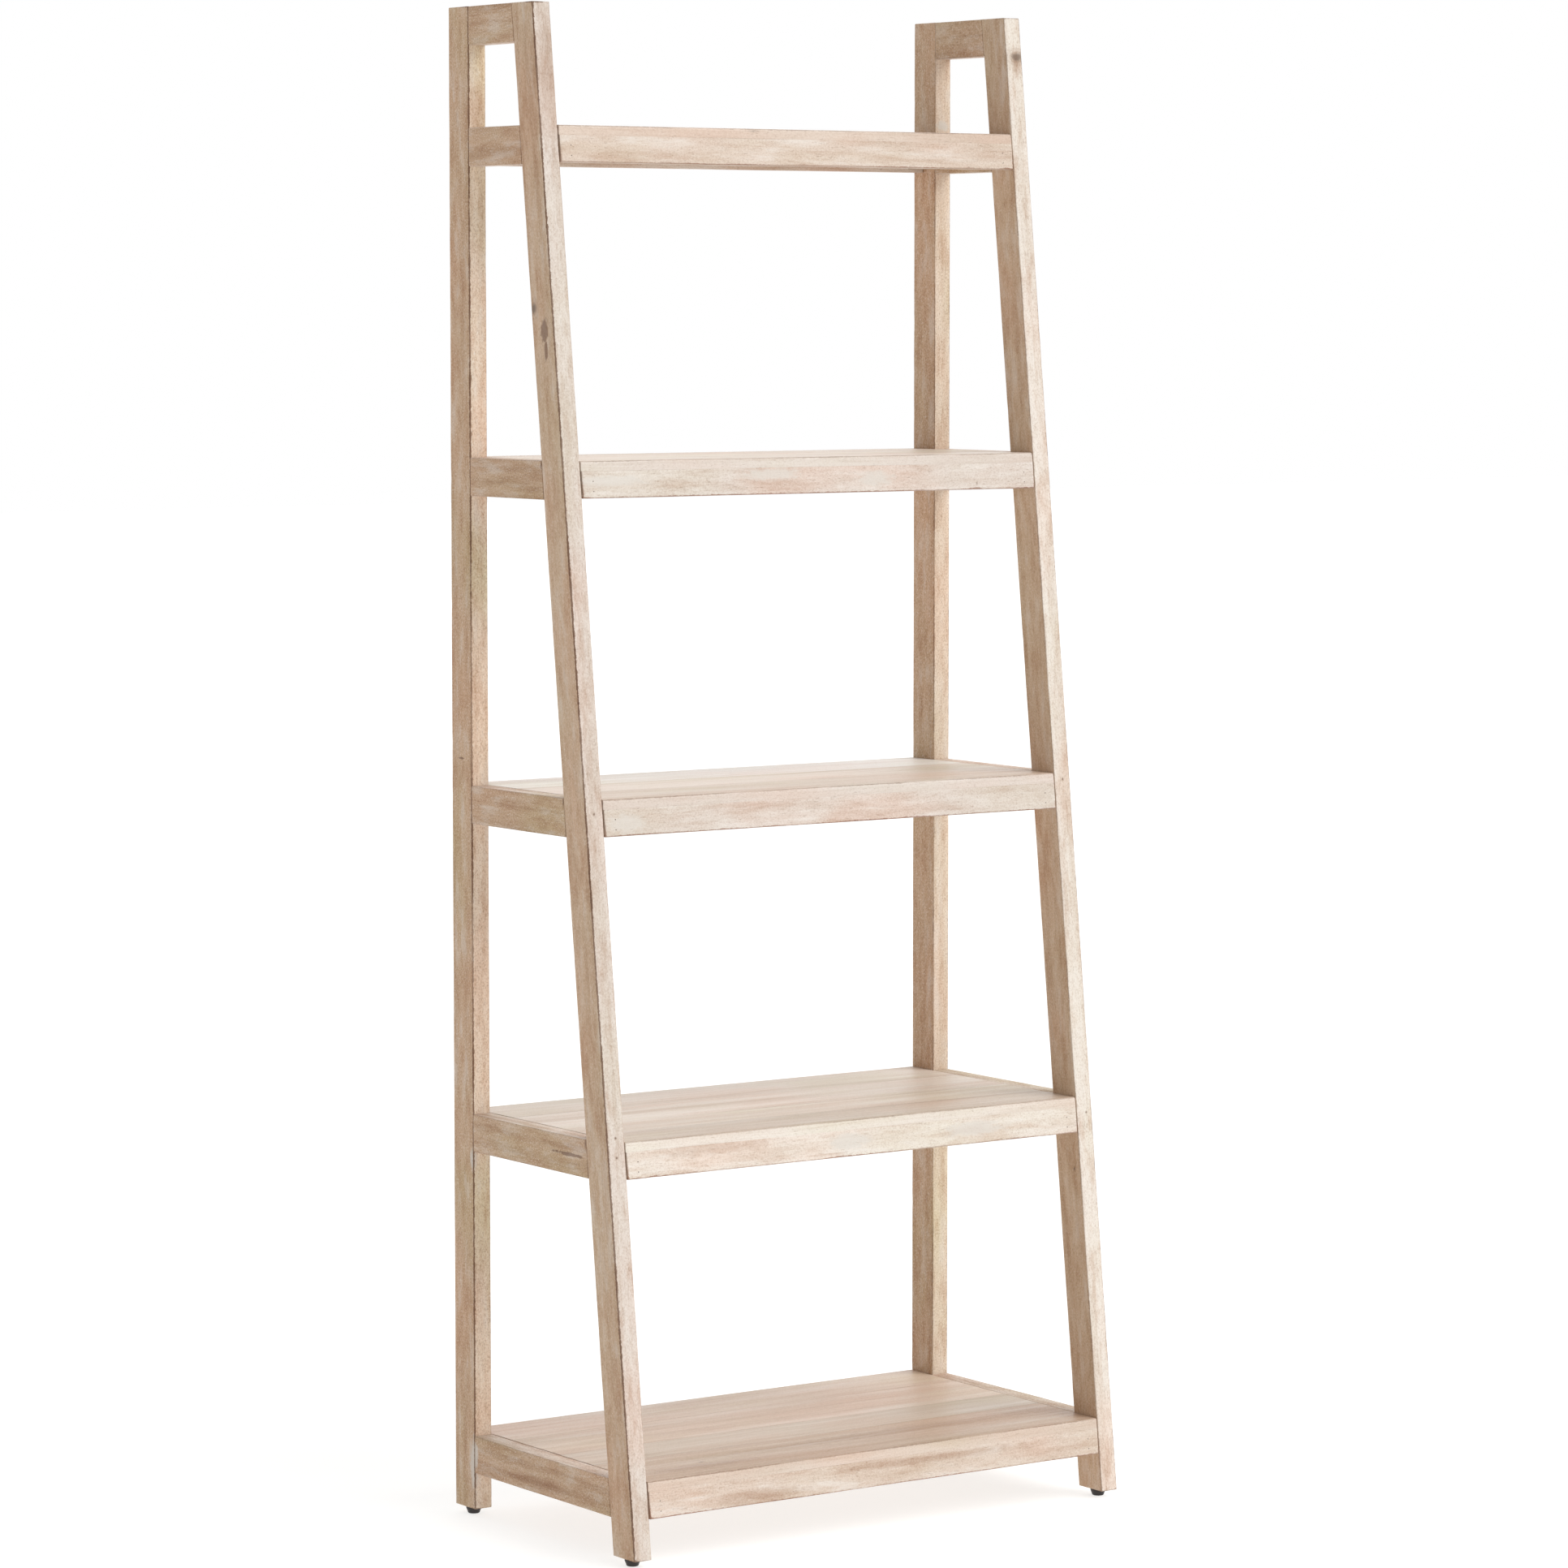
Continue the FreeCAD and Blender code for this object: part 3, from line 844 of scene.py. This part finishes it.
def side_frame(side):
    """Post, leg and rails of one side frame."""
    arrises = (FRAME_ARRIS_MM,) * 4
    post = Timber(side + "_back_post", 2, upright(POST_LOW.y), upright(POST_HIGH.y),
                  arrises, POST_WEAR[side], POST_TONES[side], POST_FLANK_TAN_AND_SHADE)
    clear_flange(post)
    timber_piece(post, POST_WOOD)
    leg = Timber(side + "_front_leg", 2, leaning(0.0), leaning(LEG_DEPTH),
                 arrises, LEG_WEAR[side], LEG_TONES[side], LEG_FLANK_TAN_AND_SHADE)
    clear_flange(leg)
    timber_piece(leg, LEG_WOOD)
    names = [side + "_top_rail"] + [f"{side}_side_rail_{level}" for level in LEVELS]
    for name in names:
        rail = Timber(name, 1, leaning(LEG_DEPTH), upright(POST_LOW.y),
                      arrises, RAIL_WEAR, CREAM, RAIL_FLANK_TAN_AND_SHADE)
        timber_piece(rail, RAIL_WOOD)


def shelf_boards(level):
    """Edge-glued boards of one shelf."""
    tones = BOARD_TONES[level - 1]
    for number, tone in enumerate(tones, 1):
        name = f"shelf_{level}_board_{number}"
        low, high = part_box(name)
        is_back, is_front = number == 1, number == len(tones)
        front = leaning(0.0) if is_front else upright(low.y)
        arrises = (SEAM_ARRIS_MM, TIGHT_ARRIS_MM,
                   FRAME_ARRIS_MM if is_back else TIGHT_ARRIS_MM,
                   NOSING_MM if is_front else TIGHT_ARRIS_MM)
        board = Timber(name, 0, front, upright(high.y),
                       arrises, BOARD_WEAR, tone, APRON_TONES[level - 1])
        timber_piece(board, BOARD_WOOD)


def shelf_aprons(level):
    """Front and back apron of one shelf."""
    tone = APRON_TONES[level - 1]
    arrises = (APRON_LIP_MM, TIGHT_ARRIS_MM, TIGHT_ARRIS_MM, SEAM_ARRIS_MM)
    front = Timber(f"shelf_{level}_front_apron", 0, leaning(0.0), leaning(APRON_THICKNESS),
                   arrises, FRONT_APRON_WEAR, tone)
    timber_piece(front, APRON_WOOD)
    arrises = (TIGHT_ARRIS_MM, APRON_LIP_MM, TIGHT_ARRIS_MM, TIGHT_ARRIS_MM)
    back = Timber(f"shelf_{level}_back_apron", 0,
                  upright(POST_HIGH.y - APRON_THICKNESS), upright(POST_HIGH.y),
                  arrises, BACK_APRON_WEAR, tone)
    timber_piece(back, APRON_WOOD)
    return front, back


def around(count):
    """Unit vectors at equal steps round a circle, as pairs of cosine and sine."""
    angles = [2 * math.pi * step / count for step in range(count)]
    return [(math.cos(angle), math.sin(angle)) for angle in angles]


def add_nail(shell, head, inward):
    """Turn one pin nail, with a low domed head, into the shell."""
    rings = []
    for radius, depth in NAIL_PROFILE_MM:
        centre = head + Vector((0.0, inward * depth * MM, 0.0))
        if radius:
            places = [centre + radius * MM * Vector((x, 0.0, z)) for x, z in around(NAIL_SIDES)]
            rings.append([shell.verts.new(place) for place in places])
        else:
            rings.append([shell.verts.new(centre)] * NAIL_SIDES)
    for first, second in zip(rings, rings[1:]):
        for face in quads(first, second):
            corners = dict.fromkeys(face)    # a quad that ends in a point is a triangle
            shell.faces.new(tuple(corners))


def pin_nails(aprons, material):
    """All the pin nails, two in each end of every apron."""
    shell = bmesh.new()
    for apron, outer, inward in aprons:
        for x in (apron.x[0] + NAIL_INSET, apron.x[1] - NAIL_INSET):
            for drop in NAIL_DROPS:
                z = apron.z[1] - drop
                add_nail(shell, Vector((x, outer(z), z)), inward)
    bmesh.ops.recalc_face_normals(shell, faces=shell.faces)
    mesh = bpy.data.meshes.new("pin_nails")
    shell.to_mesh(mesh)
    shell.free()
    mesh.shade_smooth()
    finish_piece("pin_nails", mesh, material, "apron_nails", "frame")


nailed = []
for side in ("left", "right"):
    side_frame(side)
for level in LEVELS:
    shelf_boards(level)
    front, back = shelf_aprons(level)
    nailed += [(front, front.front, 1), (back, back.back, -1)]


# ---------------------------------------------------------------- battens and hardware

def paint(node, material):
    """Give a CAD piece a finished material."""
    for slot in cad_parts[node].material_slots:
        slot.material = material


def soften_batten_edges(node):
    """Break the sharp edges of a CAD batten with a modifier, which leaves its mesh as it is."""
    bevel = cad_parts[node].modifiers.new("soft_edges", "BEVEL")
    bevel.width = BATTEN_EDGE_MM * MM
    bevel.segments = 2
    bevel.limit_method = "ANGLE"


def stud_rings():
    """Height, radius and thread depth of every ring of a stud, from its head up to its tip."""
    turns = (THREAD_END_MM - THREAD_START_MM) / THREAD_PITCH_MM
    count = round(turns * THREAD_RINGS_PER_TURN)
    rings = [(height, radius, 0.0) for height, radius in STUD_HEAD_MM]
    for step in range(count + 1):
        height = THREAD_START_MM + (THREAD_END_MM - THREAD_START_MM) * step / count
        run_in = min(1.0, step / THREAD_RINGS_PER_TURN, (count - step) / THREAD_RINGS_PER_TURN)
        rings.append((height, THREAD_RADIUS_MM, THREAD_DEPTH_MM * run_in))
    return rings + [(height, radius, 0.0) for height, radius in STUD_TIP_MM]


def threaded_stud(node, body, material):
    """Stud with a right-hand thread whose pitch is the travel of the foot in one turn."""
    low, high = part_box(node)
    axis = (low + high) / 2
    points = []
    for height, radius, depth in stud_rings():
        for side, (cosine, sine) in enumerate(around(STUD_SIDES)):
            phase = (height / THREAD_PITCH_MM - side / STUD_SIDES) % 1.0
            reach = (radius - depth * abs(2 * phase - 1)) * MM
            points.append((axis.x + reach * cosine, axis.y + reach * sine, height * MM))
    starts = range(0, len(points), STUD_SIDES)
    rings = [list(range(start, start + STUD_SIDES)) for start in starts]
    faces = [tuple(rings[0]), tuple(rings[-1])]
    for first, second in zip(rings, rings[1:]):
        faces += quads(first, second)
    mesh = bpy.data.meshes.new(node + "_thread")
    mesh.from_pydata(points, [], faces)
    outward_faces(mesh)
    finish_piece(node + "_piece", mesh, material, node, body)


ZINC = metal("zinc_plate", (0.62, 0.61, 0.57), (0.42, 0.41, 0.39), 350.0)
NAIL_STEEL = metal("nail_steel", (0.30, 0.25, 0.21), (0.16, 0.12, 0.10), 900.0)
BRASS = metal("turned_brass", (0.72, 0.53, 0.27), (0.50, 0.36, 0.18), 300.0)
PLASTIC = moulded_plastic("foot_plastic")

for level in LEVELS:
    paint(f"shelf_{level}_battens", BATTEN_WOOD)
    soften_batten_edges(f"shelf_{level}_battens")
paint("shelf_screws", ZINC)
pin_nails(nailed, NAIL_STEEL)
paint("foot_inserts", BRASS)
for side in ("left", "right"):
    for end in ("front", "back"):
        threaded_stud(f"{side}_{end}_foot_stud", f"{side}_{end}_stud", ZINC)
        paint(f"{side}_{end}_foot_pad", PLASTIC)


# ---------------------------------------------------------------- stage, light and camera

def floor():
    """Plain pale studio floor, which glows a little so that shadows on it stay faint."""
    half = FLOOR_HALF
    corners = [(-half, -half, 0), (half, -half, 0), (half, half, 0), (-half, half, 0)]
    mesh = bpy.data.meshes.new("studio_floor")
    mesh.from_pydata(corners, [], [(0, 1, 2, 3)])
    material, nodes = new_material("pale_floor")
    cloud = nodes.noise(nodes.object_place(), scale=0.7)
    colour = nodes.mix(cloud, *FLOOR_TONES)
    nodes.finish(Base_Color=colour, Roughness=0.9, Specular_IOR_Level=0.1,
                 Emission_Color=colour, Emission_Strength=FLOOR_GLOW)
    mesh.materials.append(material)
    plane = in_scene("studio_floor", mesh)


def studio_world(fill):
    """White surroundings whose soft light on the shelf has strength fill."""
    world = bpy.data.worlds.new("studio")
    bpy.context.scene.world = world
    world.use_nodes = True
    tree = world.node_tree
    background = tree.nodes["Background"]
    background.inputs["Color"].default_value = (1.0, 1.0, 1.0, 1.0)
    path = tree.nodes.new("ShaderNodeLightPath")
    strength = tree.nodes.new("ShaderNodeMapRange")
    strength.inputs["To Min"].default_value = 1.0
    strength.inputs["To Max"].default_value = fill
    tree.links.new(path.outputs["Is Diffuse Ray"], strength.inputs["Value"])
    tree.links.new(strength.outputs[0], background.inputs["Strength"])


def aim(thing, direction):
    """Turn a light or camera to look along a direction."""
    thing.rotation_mode = "QUATERNION"
    thing.rotation_quaternion = Vector(direction).to_track_quat("-Z", "Y")


def soft_sun(name, strength, direction, spread):
    """Large soft light that shines along direction."""
    light = bpy.data.lights.new(name, "SUN")
    light.energy = strength
    light.angle = math.radians(spread)
    aim(in_scene(name, light), direction)


def camera():
    """Camera at the photograph's viewing angle."""
    data = bpy.data.cameras.new("camera")
    data.lens = CAMERA_LENS
    data.sensor_width = SENSOR_WIDTH
    data.clip_end = VIEW_DEPTH
    eye = in_scene("camera", data)
    eye.location = CAMERA_PLACE
    level = math.cos(CAMERA_PITCH)
    ahead = (math.sin(CAMERA_YAW) * level, math.cos(CAMERA_YAW) * level, math.sin(CAMERA_PITCH))
    aim(eye, ahead)
    bpy.context.scene.camera = eye


floor()
studio_world(WORLD_FILL)
soft_sun("softbox", **KEY_SUN)
soft_sun("back_light", **BACK_SUN)
camera()
bpy.context.scene.view_settings.view_transform = "Standard"
